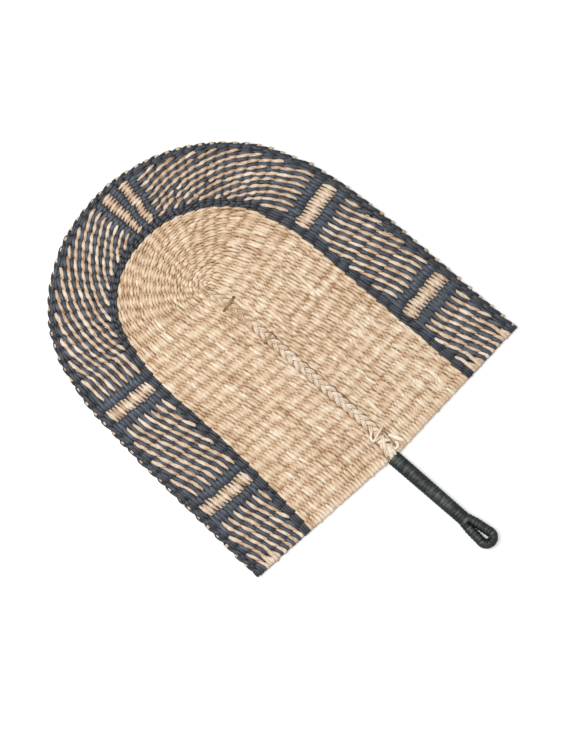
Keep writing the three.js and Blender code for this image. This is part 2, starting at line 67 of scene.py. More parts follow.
# The loop: its two legs run straight on from the throat and touch the round bend.
LOOP_HEIGHT = HANDLE_THICKNESSES[1] / 2
LOOP_RADIUS = 5.5
LOOP_LENGTH = 33.5
LOOP_SHIFT = 0.9
LOOP_STRAND_RADIUS, LOOP_CORE_RADIUS = 3.8, 2.2
LOOP_MIDDLE = (HANDLE_OFFSET, THROAT - LOOP_LENGTH + LOOP_RADIUS + LOOP_STRAND_RADIUS)
LOOP_POINTS = 40
LEG_FALL = THROAT - LOOP_MIDDLE[1]
LEG_LENGTH = math.sqrt(LEG_FALL ** 2 + LEG_OFFSET ** 2 - LOOP_RADIUS ** 2)
LEG_SLOPE = math.atan2(LEG_FALL, LEG_OFFSET) - math.acos(LOOP_RADIUS / math.hypot(LEG_FALL, LEG_OFFSET))
LOOP_PATH = 2 * LEG_LENGTH + LOOP_RADIUS * (math.pi + 2 * LEG_SLOPE)

# A strand is a row of rings, and EDGES is how much each corner of a ring belongs to the strand's edges.
RING = 8
RING_TURNS = 2 * math.pi * (np.arange(RING) + 0.5) / RING
EDGES = np.abs(np.cos(RING_TURNS)) ** 3
random = np.random.default_rng(41)


def linear(hex_colour):
    parts = [int(hex_colour[start:start + 2], 16) / 255 for start in (1, 3, 5)]
    return [part / 12.92 if part <= 0.04045 else ((part + 0.055) / 1.055) ** 2.4 for part in parts] + [1]


def add(tree, kind, inputs=None, **settings):
    node = tree.nodes.new(kind)
    for name, value in settings.items():
        setattr(node, name, value)
    for socket, value in (inputs or {}).items():
        if isinstance(value, bpy.types.NodeSocket):
            tree.links.new(value, node.inputs[socket])
        else:
            node.inputs[socket].default_value = value
    return node


def start_material(name):
    material = bpy.data.materials.new(name)
    material.use_nodes = True
    tree = material.node_tree
    return material, tree, tree.nodes["Principled BSDF"]


def grass(name, dark, middle, light, speck, speck_share, roughness, ior=1.5):
    """Dry twisted grass: long fibres wind along each strand, whose tone changes from stitch to stitch.
    Sizes are in millimetres: the girth of a strand, and its fibres, weathered patches and specks. The
    fibres are drawn coarser than real ones, so that they show."""
    girth, fibre_length, fibre_width, patch_size, speck_size = 7, 5, 0.8, 14, 2.2
    fibre_lay, ridge_height, ridge_strength = math.radians(14), 0.3, 0.6
    streak_depth, patch_depth = 0.28, 0.07
    noise_range = {"From Min": 0.3, "From Max": 0.7}
    noise_peaks = {"From Min": 0.62, "From Max": 0.72}
    material, tree, shader = start_material(name)
    place = add(tree, "ShaderNodeTexCoord")
    # The tone attribute carries each strand's own tone together with its painted light and shade.
    tone = add(tree, "ShaderNodeAttribute", attribute_name="tone")
    twisted = add(tree, "ShaderNodeMapping", {"Vector": place.outputs["UV"], "Scale": (1 / MM, girth, 1),
                                              "Rotation": (0, 0, fibre_lay)})
    drawn = add(tree, "ShaderNodeMapping", {"Vector": twisted.outputs["Vector"],
                                            "Scale": (1 / fibre_length, 1 / fibre_width, 1)})
    fibres = add(tree, "ShaderNodeTexNoise", {"Vector": drawn.outputs["Vector"], "Scale": 1.0,
                                              "Detail": 2.0})
    streak = add(tree, "ShaderNodeMapRange", {"Value": fibres.outputs["Fac"], **noise_range,
                                              "To Min": -streak_depth, "To Max": streak_depth})
    weathered = add(tree, "ShaderNodeTexNoise", {"Vector": place.outputs["Object"],
                                                 "Scale": 1 / (patch_size * MM)})
    patch = add(tree, "ShaderNodeMapRange", {"Value": weathered.outputs["Fac"], **noise_range,
                                             "To Min": -patch_depth, "To Max": patch_depth})
    shade = add(tree, "ShaderNodeMath", {0: tone.outputs["Fac"], 1: streak.outputs["Result"]},
                operation="ADD")
    shade = add(tree, "ShaderNodeMath", {0: shade.outputs[0], 1: patch.outputs["Result"]}, operation="ADD")
    low = add(tree, "ShaderNodeMapRange", {"Value": shade.outputs[0], "From Min": 0.0, "From Max": 0.5})
    high = add(tree, "ShaderNodeMapRange", {"Value": shade.outputs[0], "From Min": 0.5, "From Max": 1.0})
    body = add(tree, "ShaderNodeMix", {"Factor": low.outputs["Result"], "A": linear(dark),
                                       "B": linear(middle)}, data_type="RGBA")
    lit = add(tree, "ShaderNodeMix", {"Factor": high.outputs["Result"], "A": body.outputs["Result"],
                                      "B": linear(light)}, data_type="RGBA")
    dots = add(tree, "ShaderNodeTexNoise", {"Vector": place.outputs["Object"],
                                            "Scale": 1 / (speck_size * MM)})
    marks = add(tree, "ShaderNodeMapRange", {"Value": dots.outputs["Fac"], **noise_peaks,
                                             "To Max": speck_share})
    colour = add(tree, "ShaderNodeMix", {"Factor": marks.outputs["Result"], "A": lit.outputs["Result"],
                                         "B": linear(speck)}, data_type="RGBA")
    ridges = add(tree, "ShaderNodeBump", {"Height": fibres.outputs["Fac"], "Strength": ridge_strength,
                                          "Distance": ridge_height * MM})
    tree.links.new(colour.outputs["Result"], shader.inputs["Base Color"])
    tree.links.new(ridges.outputs["Normal"], shader.inputs["Normal"])
    shader.inputs["Roughness"].default_value = roughness
    shader.inputs["IOR"].default_value = ior
    return material


def between(low, high, share):
    return low + (high - low) * share


def eased(value, low, high):
    """0 up to low, 1 from high on, and a smooth rise between them."""
    share = np.clip((value - low) / (high - low), 0, 1)
    return share * share * (3 - 2 * share)


def spine_x(y):
    """Where the spine runs: from the crown's middle, a little to the right, then left to the handle."""
    to_handle = eased(-y, FOOT_DROP - FOOT_BEND, FOOT_DROP)
    return between(SPINE_OFFSET * eased(-y, 0, SPINE_BEND), HANDLE_OFFSET, to_handle)


def loop_place(distance):
    """A point of the loop's middle line and the way out from it, by distance from the throat."""
    side = 1 if distance <= LOOP_PATH / 2 else -1
    distance = min(distance, LOOP_PATH - distance)
    angle = LEG_SLOPE - max(distance - LEG_LENGTH, 0) / LOOP_RADIUS
    back = max(LEG_LENGTH - distance, 0)
    x = LOOP_RADIUS * math.cos(angle) - back * math.sin(LEG_SLOPE)
    y = LOOP_RADIUS * math.sin(angle) + back * math.cos(LEG_SLOPE)
    shift = LOOP_SHIFT * (LEG_FALL - y) / LOOP_LENGTH
    point = np.array((LOOP_MIDDLE[0] + side * x + shift, LOOP_MIDDLE[1] + y, LOOP_HEIGHT))
    return point, np.array((side * math.cos(angle), math.sin(angle), 0))


def strand_piece(name, strands, slot, material, *nodes, edge_shade=0.38):
    """One mesh of oval strands, each given by its points, face normals, half widths, half thicknesses and
    tones. The edges of a strand lie in the shade of its neighbours, so there its tones are lowered by
    edge_shade, unless it comes with a tone for every corner of its rings."""
    places, quads, marks, tones, caps = [], [], [], [], []
    first = 0
    for points, normals, halves, thicknesses, shades in strands:
        count = len(points)
        along = np.gradient(points, axis=0)
        along /= np.linalg.norm(along, axis=1)[:, None]
        across = np.cross(along, np.broadcast_to(normals, points.shape))
        across /= np.linalg.norm(across, axis=1)[:, None]
        upward = np.cross(across, along)
        wide = np.broadcast_to(halves, count)[:, None] * np.cos(RING_TURNS)
        thick = np.broadcast_to(thicknesses, count)[:, None] * np.sin(RING_TURNS)
        rings = points[:, None] + across[:, None] * wide[..., None] + upward[:, None] * thick[..., None]
        places.append(rings.reshape(-1, 3))
        grid = first + np.arange(count * RING).reshape(count, RING)
        beside = np.roll(grid, -1, axis=1)
        quads.append(np.stack((grid[:-1], grid[1:], beside[1:], beside[:-1]), axis=-1).reshape(-1, 4))
        caps += [grid[0].tolist(), grid[-1][::-1].tolist()]
        steps = np.linalg.norm(np.diff(points, axis=0), axis=1)
        lengths = np.concatenate(([0], np.cumsum(steps))) * MM
        mark = np.stack(np.broadcast_arrays(lengths[:, None], np.arange(RING) / RING), axis=-1)
        nearby = mark + (0, 1 / RING)
        marks.append(np.stack((mark[:-1], mark[1:], nearby[1:], nearby[:-1]), axis=2).reshape(-1, 2))
        if np.ndim(shades) < 2:
            shades = np.broadcast_to(shades, count)[:, None] - edge_shade * EDGES
        tones.append(shades.ravel())
        first += count * RING
    marks.append(np.zeros((len(caps) * RING, 2)))
    mesh = bpy.data.meshes.new(name)
    mesh.from_pydata(np.concatenate(places) * MM, [], np.concatenate(quads).tolist() + caps)
    mesh.uv_layers.new(name="strand").data.foreach_set("uv", np.concatenate(marks).ravel())
    mesh.attributes.new("tone", "FLOAT", "POINT").data.foreach_set("value", np.concatenate(tones))
    mesh.materials.append(material)
    piece = bpy.data.objects.new(name, mesh)
    bpy.context.collection.objects.link(piece)
    bpy.ops.object.select_all(action="DESELECT")
    bpy.context.view_layer.objects.active = piece
    piece.select_set(True)
    bpy.ops.object.shade_smooth()
    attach(piece, "root")
    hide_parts(*nodes)


# Rush straw: a smooth dry stem with a slight sheen, straw yellow with brown patches.
rush_straw = grass("rush_straw", "#9a7850", "#d6b78f", "#f0dfc2", "#7d5c38", 0.5, 0.5)

straws = []
for layer in (-1, 0, 1):
    columns = SPINE_COLUMNS if layer else SPINE_COLUMNS - 1
    for column in np.arange(columns) - (columns - 1) / 2:
        rounded = (2 * column / (SPINE_COLUMNS - 1)) ** 2 * ROUNDED_TOP
        drops = np.linspace(rounded - SPINE_TOP, FOOT_DROP + SPINE_TAIL, SPINE_POINTS)
        gather = between(1, GATHERED, eased(drops, *GATHER_DROPS))
        x = spine_x(-drops) + column * 2 * STRAW_RADIUS * gather
        z = BLADE_MIDDLE + layer * (BLADE_MIDDLE - STRAW_RADIUS - ROUNDED_SIDE * rounded)
        wave = drops / random.uniform(*WOBBLE_LENGTHS) + random.uniform(*ANY_PHASE)
        points = np.stack((x + STRAW_WOBBLE * np.sin(wave), -drops, np.full(len(drops), z)), axis=1)
        # Painted shade: the top layer of straws is darker where the plait lies over it.
        shaded = PLAIT_SHADE * eased(drops, *PLAIT_COVERS) if layer > 0 else 0 * drops
        tones = random.normal(SPINE_TONE, SPINE_TONE_JITTER) - shaded
        straws.append((points, UP, STRAW_RADIUS, STRAW_RADIUS, tones))
for leg in (-1, 1):
    points = np.full((LEG_POINTS, 3), (HANDLE_OFFSET + leg * LEG_OFFSET, 0, LOOP_HEIGHT))
    points[:, 1] = np.linspace(-GATHER_DROPS[1], THROAT, LEG_POINTS)
    straws.append((points, UP, LEG_HALF_WIDTH, LEG_HALF_THICKNESS, LEG_TONE))
loop_line = np.array([loop_place(distance)[0] for distance in np.linspace(0, LOOP_PATH, LOOP_POINTS)])
straws.append((loop_line, UP, LOOP_CORE_RADIUS, LOOP_CORE_RADIUS, LEG_TONE))
strand_piece("core_straws", straws, "natural_grass", rush_straw, "core_bundle")


# Spokes: 19 rush stakes right across the blade and 19 that fan out round the crown. Each of those splits in
# two at the edge of the field, so that the spokes of the border stay as close. The weave grips them all.
CROSS_SPOKES = 19
CROWN_SPOKES = 19
CROWN_TINES = 2 * CROWN_SPOKES - 1
LAST_TINE = CROWN_TINES - 1
SPOKE_PITCH = 11
FIRST_SPOKE_DROP = 11.2
SPOKE_RADIUS = 1.3
SPOKE_TONE, SPOKE_TONE_JITTER = 0.75, 0.1
FLATTENED_TIP = 1.4
STEM_RADII = np.array((0.6, 1.0, SPOKE_RADIUS))
TINE_HALF_WIDTHS, TINE_HALF_THICKNESS = np.array((1.5, 1.5, 1.5, 2.0)), 1.1
HIDDEN_TIP, FLUSH_TIP = (-0.9, 0.2), (-0.1, 0.6)
FIRST_FLUSH_LEFT, FLUSH_TINES = 15, 20
CROWN_ANGLES = (8, 168.4)
CROWN_LEAN = math.radians(20)
ROOT_DISTANCE, STEM_MIDDLE = 18, 0.6
SPINE_GAP = 4.6
FIELD_HEIGHT = 68.5
RIM_HEIGHT = 123.2
INNER_BORDER = 7.1

# Each half of the blade has the tilts of its first and last cross spoke. Its field and its rim have a reach
# at the shoulder and one at the foot, the power of the flare between them, and how far the shoulder draws
# in over how many spokes. Round the crown each of the two is part of an ellipse.
RIGHT = {"side": 1, "tilt": (6.3, -2.3), "crown_field": 85, "crown_rim": 142,
         "field": (88.3, 90.3, 1, 5.3, 3.6), "rim": (148.5, 150.5, 1, 7.3, 8)}
LEFT = {"side": -1, "tilt": (10.5, 7.7), "crown_field": 78.5, "crown_rim": 138.7,
        "field": (85, 94.5, 3, 4.6, 3.6), "rim": (143, 154.7, 1, 3.2, 8)}


def cross_line(half, number):
    """Three places on a cross spoke: by the spine, at the edge of the field and at the rim."""
    share = number / (CROSS_SPOKES - 1)
    slope = math.tan(math.radians(between(*half["tilt"], share)))
    drop = FIRST_SPOKE_DROP + SPOKE_PITCH * number
    reaches = [SPINE_GAP + half["side"] * spine_x(-drop)]
    for shoulder, foot, flare, draw, spokes in (half["field"], half["rim"]):
        reaches.append(between(shoulder, foot, share ** flare) - draw * max(1 - number / spokes, 0) ** 2)
    return [np.array((half["side"] * reach, reach * slope - drop)) for reach in reaches]


def crown_line(tine):
    """The same three places on a line from the middle of the crown."""
    angle = math.radians(between(*CROWN_ANGLES, tine / LAST_TINE))
    leaning = angle + CROWN_LEAN
    half = RIGHT if math.cos(leaning) > 0 else LEFT
    reaches = [SPINE_GAP]
    for reach, height in ((half["crown_field"], FIELD_HEIGHT), (half["crown_rim"], RIM_HEIGHT)):
        reaches.append(1 / math.hypot(math.cos(leaning) / reach, math.sin(leaning) / height))
    return [reach * np.array((math.cos(angle), math.sin(angle))) for reach in reaches]


def in_blade(places):
    return np.array([(x, y, BLADE_MIDDLE) for x, y in places])


def tines_of(spoke):
    """The numbers of the two border spokes that a crown spoke splits into; the middle one stays whole."""
    middle = CROWN_SPOKES // 2
    if spoke == middle:
        return [2 * spoke]
    first = 2 * spoke if spoke < middle else 2 * spoke - 1
    return [first, first + 1]


def tip(field, rim, flush):
    """The end of a spoke: flush with the rim, where it shows as a pale fleck, or hidden in the weave."""
    away = (rim - field) / np.linalg.norm(rim - field)
    return rim + away * random.uniform(*(FLUSH_TIP if flush else HIDDEN_TIP))


spokes = []
for number in range(CROSS_SPOKES):
    (_, left, left_rim), (_, right, right_rim) = cross_line(LEFT, number), cross_line(RIGHT, number)
    middle = (0, -FIRST_SPOKE_DROP - SPOKE_PITCH * number)
    left_tip = tip(left, left_rim, number >= FIRST_FLUSH_LEFT)
    line = in_blade([left_tip, left, middle, right, tip(right, right_rim, True)])
    flattened = SPOKE_RADIUS * np.array((FLATTENED_TIP, 1, 1, 1, FLATTENED_TIP))
    spokes.append((line, UP, flattened, SPOKE_RADIUS, random.normal(SPOKE_TONE, SPOKE_TONE_JITTER)))
strand_piece("cross_straws", spokes, "natural_grass", rush_straw,
             *[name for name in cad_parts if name.startswith("cross_spoke")])

spokes = []
for spoke in range(CROWN_SPOKES):
    _, field, _ = crown_line(np.mean(tines_of(spoke)))
    outward = field / np.linalg.norm(field)
    stem = in_blade([outward * ROOT_DISTANCE, field * STEM_MIDDLE, field + outward])
    tone = random.normal(SPOKE_TONE, SPOKE_TONE_JITTER)
    spokes.append((stem, UP, STEM_RADII, STEM_RADII, tone))
    for tine in tines_of(spoke):
        _, edge, rim = crown_line(tine)
        away = (rim - edge) / np.linalg.norm(rim - edge)
        line = in_blade([field - outward, edge + away * INNER_BORDER / 2, edge + away * INNER_BORDER,
                         tip(edge, rim, tine < FLUSH_TINES)])
        spokes.append((line, UP, TINE_HALF_WIDTHS, TINE_HALF_THICKNESS, tone))
strand_piece("crown_straws", spokes, "natural_grass", rush_straw,
             *[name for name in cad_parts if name.startswith("crown_spoke")])


# Field: 27 courses of natural seagrass, each a pair of strands twined round one spoke after another,
# up the right side, round the crown and down the left side. A strand that passes in front of a spoke
# goes behind the next, so every spoke shows one slanted stitch per course, and the foot spoke its turn.
FIELD_COURSES = 27
STRAND_HALF_THICKNESS = 0.62
FIELD_WIDTH, FIELD_TAPER = 0.6, 0.16
SIDE_TONE, CROWN_TONE = 0.64, 0.58
SELVEDGE = 3.4
FIELD_LEAN, EDGE_LEAN = 0.46, 0.4
FOURS_END, PAIRS_END, MIXED_END = 12, 26, 53
STEPS = 8

# How evenly it is drawn: the right half is looser than the left, and there a strand now and then passes in
# front of two spokes, more often in the courses by the spine.
RIGHT_SLACK, CROWN_SLACKS, LEFT_SLACK = 0.85, (0.7, 0.1), 0.1
LOOSE_COURSES, LOOSE_FLOATS, FIRM_FLOATS = 4, 0.16, 0.12
OUTWARD_JITTER, SIDEWAYS_JITTER, END_LOOSENESS = 0.05, 0.8, 0.3
WIDTH_JITTER, STRAND_TONE_JITTER, STITCH_TONE_JITTER = 0.05, 0.05, 0.1

# How a strand goes from one spoke to the next, in shares of the span: when it starts to dive or ends its
# climb, where it leans most and over how much it changes tone. Then how much a float sags and swells, and
# how much painted shade darkens a strand between spokes and at its edges.
DIVE_START, CLIMB_END, LEAN_PEAK, TONE_CHANGE = 0.2, 0.8, 0.65, 0.3
FLOAT_SAG, FRONT_SWELL, BACK_SWELL = 0.2, 0.2, 0.8
CROSSING_SHADE, FLOAT_SHADE = 0.17, 0.08
EDGE_SHADE, EDGE_DIP = 0.22, 0.3

# The turn round the foot spoke, from its outermost point up to the first stitch. Its shades are painted
# shade, darkest at the outermost point, where it wraps down the side of the spoke.
TURN_ANGLES = np.radians((90, 60, 30))
TURN_WIDTHS = np.array((0.5, 0.56, 0.58))
TURN_SHADES = np.array((0.35, 0.15, 0))

# Seagrass: matt pale straw, bright on top of each stitch, with painted shade that turns it brown where the
# strands dive between spokes.
natural_grass = grass("natural_seagrass", "#a27a54", "#dfc3a2", "#faefdd", "#8c663e", 0.5, 0.55)


def twined_pair(stations, outs, pitches, fronts, slack, lean, styles, shift=(0.0, 0.0), hold=0.0):
    """The two strands of one course. At each station fronts is 1 where the first strand lies in front,
    slack, from 0 to 1, is how loosely the stitch is drawn and lean how far its ends go to the side. The
    style of a strand is its half width, a share of the pitch, how much that tapers between spokes, its
    tone, how proud it lies and how far it reaches at the foot. Shift moves the front and the back strand
    outwards, and hold is how much longer than the second, in shares of a span, the first stays in front."""
    count = len(stations)
    outs, pitches, slack, lean = (np.array(values) for values in (outs, pitches, slack, lean))
    sideways = np.stack((-outs[:, 1], outs[:, 0]), axis=1)
    loose = 1 + slack
    loose[[0, -1]] = END_LOOSENESS
    out_of_line = random.normal(0, OUTWARD_JITTER, count) * loose * pitches
    out_of_step = random.normal(0, SIDEWAYS_JITTER, count) * loose
    stations = np.array(stations) + outs * out_of_line[:, None]
    stations = stations + sideways * out_of_step[:, None]
    share = np.arange(STEPS) / STEPS
    dip = np.tile(np.sin(math.pi * share), count - 1)
    leaving = -np.interp(share, (0, LEAN_PEAK, 1), (0, 1, 0))
    coming = np.interp(share, (0, 1 - LEAN_PEAK, 1), (0, 1, 0))

    def spread(values, ramp=share):
        ramp = np.broadcast_to(ramp, (count - 1, STEPS))
        ramp = ramp.reshape(count - 1, STEPS, *[1] * (values.ndim - 1))
        steps = values[:-1, None] + (values[1:] - values[:-1])[:, None] * ramp
        return steps.reshape(-1, *values.shape[1:])

    strands = []
    for sign, (width, taper, tone, proud, reach) in zip((1, -1), styles):
        rise = SPOKE_RADIUS + STRAND_HALF_THICKNESS + proud
        sides = sign * np.array(fronts, float)
        breadth = width + random.normal(0, WIDTH_JITTER, count)
        tones = tone + random.normal(0, STRAND_TONE_JITTER) + random.normal(0, STITCH_TONE_JITTER, count)
        dives = (sides[:-1] > sides[1:])[:, None]
        crosses = np.repeat(sides[:-1] != sides[1:], STEPS)
        pitch = spread(pitches)
        sway = spread(lean) * pitch * np.where(dives, leaving, coming).ravel() * crosses
        sway += spread(np.where(sides > 0, *shift))
        plan = spread(stations) + spread(outs) * sway[:, None]
        late = sign * np.broadcast_to(hold, count - 1)[:, None]
        dive = eased(share, DIVE_START + late, 1 + np.minimum(late, 0))
        climb = eased(share, np.maximum(-late, 0), CLIMB_END - late)
        lift = rise * spread(sides, np.where(dives, dive, climb))
        lift *= np.where(crosses, 1, 1 - FLOAT_SAG * dip ** 2)
        float_swell = np.where(spread(sides) > 0, FRONT_SWELL, BACK_SWELL)
        swell = np.where(crosses, -spread(taper + 0 * breadth), float_swell)
        halves = pitch * spread(breadth) * (1 + swell * dip ** 2)
        changing = np.where(dives, eased(share, 1 - TONE_CHANGE, 1), eased(share, 0, TONE_CHANGE))
        shades = spread(tones, changing)
        # Painted shade between spokes: deeper where the strand dives among the others, lighter along a
        # float.
        shades -= np.where(crosses, CROSSING_SHADE, FLOAT_SHADE) * dip
        turns = []
        for end, inner in ((0, 1), (-1, -2)):
            away = stations[end] - stations[inner]
            away = away / np.linalg.norm(away)
            place = stations[end] + np.multiply.outer(reach * np.sin(TURN_ANGLES), away)
            turns.append((np.column_stack((place, rise * np.cos(TURN_ANGLES) * sides[end])),
                          pitches[end] * TURN_WIDTHS, tones[end] - TURN_SHADES))
        (start, start_halves, start_shades), (finish, finish_halves, finish_shades) = turns
        last = np.array((*stations[-1], rise * sides[-1]))
        points = np.concatenate((start, np.column_stack((plan, lift)), last[None], finish[::-1]))
        halves = np.concatenate((start_halves, halves, pitches[-1:] * breadth[-1], finish_halves[::-1]))
        shades = np.concatenate((start_shades, shades, tones[-1:], finish_shades[::-1]))
        # Painted shade along the strand's edges, deeper in the gaps between spokes than on top of a stitch.
        edges = np.full(len(shades), EDGE_SHADE)
        edges[len(start):len(start) + len(dip)] += EDGE_DIP * dip
        shades = shades[:, None] - edges[:, None] * EDGES
        strands.append((points + UP * BLADE_MIDDLE, UP, halves, STRAND_HALF_THICKNESS, shades))
    return strands


def crown_groups(radius):
    """Near the spine a stitch spans several crown spokes, which spread apart further out."""
    if radius < FOURS_END:
        bounds = [0, 4, 8, 11, 15, CROWN_SPOKES]
    elif radius < PAIRS_END:
        bounds = [0, 2, 4, 6, 8, 11, 13, 15, 17, CROWN_SPOKES]
    elif radius < MIXED_END:
        bounds = [bound for bound in range(CROWN_SPOKES + 1) if bound % 3 != 2]
    else:
        bounds = list(range(CROWN_SPOKES + 1))
    return [np.mean([tine for spoke in range(low, high) for tine in tines_of(spoke)])
            for low, high in zip(bounds, bounds[1:])]


cross_right = [cross_line(RIGHT, number) for number in reversed(range(CROSS_SPOKES))]
cross_left = [cross_line(LEFT, number) for number in range(CROSS_SPOKES)]
field_strands = []
for course in range(FIELD_COURSES):
    share = (course + 0.5) / FIELD_COURSES
    tines = crown_groups(between(SPINE_GAP, FIELD_HEIGHT, share))
    lines = cross_right + [crown_line(tine) for tine in tines] + cross_left
    spans = [field - inner for inner, field, _ in lines]
    lengths = [np.linalg.norm(span) for span in spans]
    crown_slack = [between(*CROWN_SLACKS, tine / CROWN_TINES) for tine in tines]
    slack = [RIGHT_SLACK] * CROSS_SPOKES + crown_slack + [LEFT_SLACK] * CROSS_SPOKES
    tones = np.array([SIDE_TONE] * CROSS_SPOKES + [CROWN_TONE] * len(tines) + [SIDE_TONE] * CROSS_SPOKES)
    float_chance = LOOSE_FLOATS if course < LOOSE_COURSES else FIRM_FLOATS
    fronts = [1 if course % 2 else -1]
    for number in range(1, len(lines)):
        floats = number < CROSS_SPOKES and random.random() < float_chance
        fronts.append(fronts[-1] if floats else -fronts[-1])
    field_strands.append(twined_pair(
        [inner + span * share for (inner, _, _), span in zip(lines, spans)],
        [span / length for span, length in zip(spans, lengths)],
        [length / FIELD_COURSES for length in lengths], fronts, slack,
        [EDGE_LEAN if course in (0, FIELD_COURSES - 1) else FIELD_LEAN] * len(lines),
        [(FIELD_WIDTH, FIELD_TAPER, tones, 0.0, SELVEDGE)] * 2))
third = FIELD_COURSES // 3
for part, name in enumerate(("field_courses_inner", "field_courses_middle", "field_courses_outer")):
    courses = field_strands[third * part:third * (part + 1)]
    strand_piece(name, [strand for pair in courses for strand in pair], "natural_grass", natural_grass,
                 "field_weave")


# Borders and pattern band: 3 dyed courses, 14 courses of one dyed and one natural strand, and 3 dyed
# courses to the rim, twined the same way. Neighbouring courses of the band start on opposite colours,
# which draws slanting stripes, and in the bars they all show the same colour on the same spoke.
SIDE_BORDER, CROWN_BORDER, BORDER_NARROWS = 8.0, 6.6, 6
BORDER_COURSES = 3
BAND_COURSES = 14
BORDER_LEAN, BAND_LEAN = 0.35, 0.9
BORDER_SLACK, BAND_SLACK = 0.7, 0.15
BORDER_STRAND = (0.7, 0.1, 0.3, 0.0, SELVEDGE)
DYED_STRAND = (0.62, 0.12, 0.6, 0.0, SELVEDGE)
NATURAL_PROUD, NATURAL_SELVEDGE = 0.25, 3.1
NATURAL_TONES = (0.57, 0.46, 0.58, 0.58)
STRIPE_WIDTH, BAR_WIDTH = 0.53, 0.6
STRIPE_TAPER, BAR_TAPER = 0.16, 0.36
BAR_EDGE_HOLD, BAR_HOLD = 0.2, 0.06
RIM_FRONT_SHIFT, RIM_BACK_SHIFTS, LET_OUT_SPOKES = -2.4, (-0.6, 0.6), 10

# The bars: which strand, 1 natural and -1 dyed, shows on a spoke, on the sides and round the crown.
SIDE_BARS = {1: -1, 2: 1, 3: -1, 11: -1, 12: 1, 13: -1}
CROWN_BARS = {15: -1, 16: 1, 17: -1, 18: 1, 19: -1}

# At the foot a few courses show natural on the last spoke where the stripes would show dyed, so that
# natural turns lie together there: the end of the course, and the courses of the band.
FOOT_PATCHES = ((0, (0, 2, 12)), (-1, (9, 11)))

# Pale seagrass: the whiter strands picked for the band, cream beside the dark ones, matt.
pale_grass = grass("pale_seagrass", "#a27f60", "#dbc3a9", "#f8ecdd", "#8c6a48", 0.5, 0.55)

# Dyed seagrass: blue-black dye that has taken unevenly, with a dull sheen; painted shade between spokes and
# at the strand edges leaves the tops of the stitches greyer.
dyed_grass = grass("dyed_seagrass", "#151920", "#343b46", "#5a626d", "#1c2129", 0.5, 0.5)

band_lines = cross_right + [crown_line(tine) for tine in range(CROWN_TINES)] + cross_left
numbers = np.arange(len(band_lines))
bars = {CROSS_SPOKES - 1 - spoke: face for spoke, face in SIDE_BARS.items()}
bars.update({CROSS_SPOKES + tine: face for tine, face in CROWN_BARS.items()})
bars.update({CROSS_SPOKES + CROWN_TINES + spoke: face for spoke, face in SIDE_BARS.items()})
last_crown_bar = CROSS_SPOKES + max(CROWN_BARS)

# Widths across the band at each spoke.
depths = np.array([np.linalg.norm(rim - field) for _, field, rim in band_lines])
crown_ends = CROSS_SPOKES + np.array((0, BORDER_NARROWS, LAST_TINE - BORDER_NARROWS, LAST_TINE))
outer_border = np.interp(numbers, crown_ends, (SIDE_BORDER, CROWN_BORDER, CROWN_BORDER, SIDE_BORDER))
inner_border = np.full(len(numbers), INNER_BORDER)
band = depths - inner_border - outer_border


def band_course(start, width, count, course, fronts, slack, lean, styles, **places):
    """One course of a strip that begins start and is width wide, both given for each spoke."""
    stations, outs, pitches = [], [], []
    for (_, field, rim), begin, wide in zip(band_lines, start, width):
        out = (rim - field) / np.linalg.norm(rim - field)
        stations.append(field + out * (begin + wide * (course + 0.5) / count))
        outs.append(out)
        pitches.append(wide / count)
    even = np.ones(len(numbers))
    return twined_pair(stations, outs, pitches, fronts, slack * even, lean * even, styles, **places)


# In the last course the front strand is drawn in, so that the tips of the spokes show. The back strand is
# drawn in a little on the right and let out a little from the crown on.
back_shift = between(*RIM_BACK_SHIFTS, eased(numbers, CROSS_SPOKES, CROSS_SPOKES + LET_OUT_SPOKES))
inner_strands, outer_strands = [], []
for course in range(BORDER_COURSES):
    fronts = [1 if (number + course) % 2 else -1 for number in numbers]
    at_rim = course == BORDER_COURSES - 1
    inner_strands += band_course(0 * depths, inner_border, BORDER_COURSES, course, fronts, BORDER_SLACK,
                                 BORDER_LEAN, [BORDER_STRAND] * 2)
    outer_strands += band_course(depths - outer_border, outer_border, BORDER_COURSES, course, fronts,
                                 BORDER_SLACK, BORDER_LEAN, [BORDER_STRAND] * 2,
                                 shift=(RIM_FRONT_SHIFT, back_shift) if at_rim else (0.0, 0.0))

# By the bars the strands lean less, and the natural ones narrow more between spokes and stay in front for
# longer. Past the last bar of the crown the stripes go on one spoke later.
in_bar = np.array([number in bars for number in numbers])
natural_bar = np.array([bars.get(number) == 1 for number in numbers])
by_bar = in_bar | np.roll(in_bar, 1) | np.roll(in_bar, -1)
by_natural_bar = natural_bar | np.roll(natural_bar, 1) | np.roll(natural_bar, -1)
within_bars = np.where(in_bar[:-1] & in_bar[1:], BAR_HOLD, 0)
hold = np.where(in_bar[:-1] ^ in_bar[1:], BAR_EDGE_HOLD, within_bars)
band_lean = np.where(by_bar, BORDER_LEAN, BAND_LEAN)
natural_strand = (np.where(natural_bar, BAR_WIDTH, STRIPE_WIDTH),
                  np.where(by_natural_bar, BAR_TAPER, STRIPE_TAPER),
                  np.interp(numbers, crown_ends, NATURAL_TONES), NATURAL_PROUD, NATURAL_SELVEDGE)
natural_strands, dyed_strands = [], []
for course in range(BAND_COURSES):
    turned = numbers + course + (numbers > last_crown_bar)
    fronts = [bars.get(number, 1 if odd else -1) for number, odd in zip(numbers, turned % 2)]
    for end, courses in FOOT_PATCHES:
        if course in courses:
            fronts[end] = 1
    natural, dyed = band_course(inner_border, band, BAND_COURSES, course, fronts, BAND_SLACK, band_lean,
                                [natural_strand, DYED_STRAND], hold=hold)
    natural_strands.append(natural)
    dyed_strands.append(dyed)
strand_piece("inner_border_courses", inner_strands, "dyed_grass", dyed_grass, "inner_border")
strand_piece("outer_border_courses", outer_strands, "dyed_grass", dyed_grass, "outer_border")
strand_piece("band_natural_strands", natural_strands, "natural_grass", pale_grass, "pattern_band")
strand_piece("band_dyed_strands", dyed_strands, "dyed_grass", dyed_grass, "pattern_band")


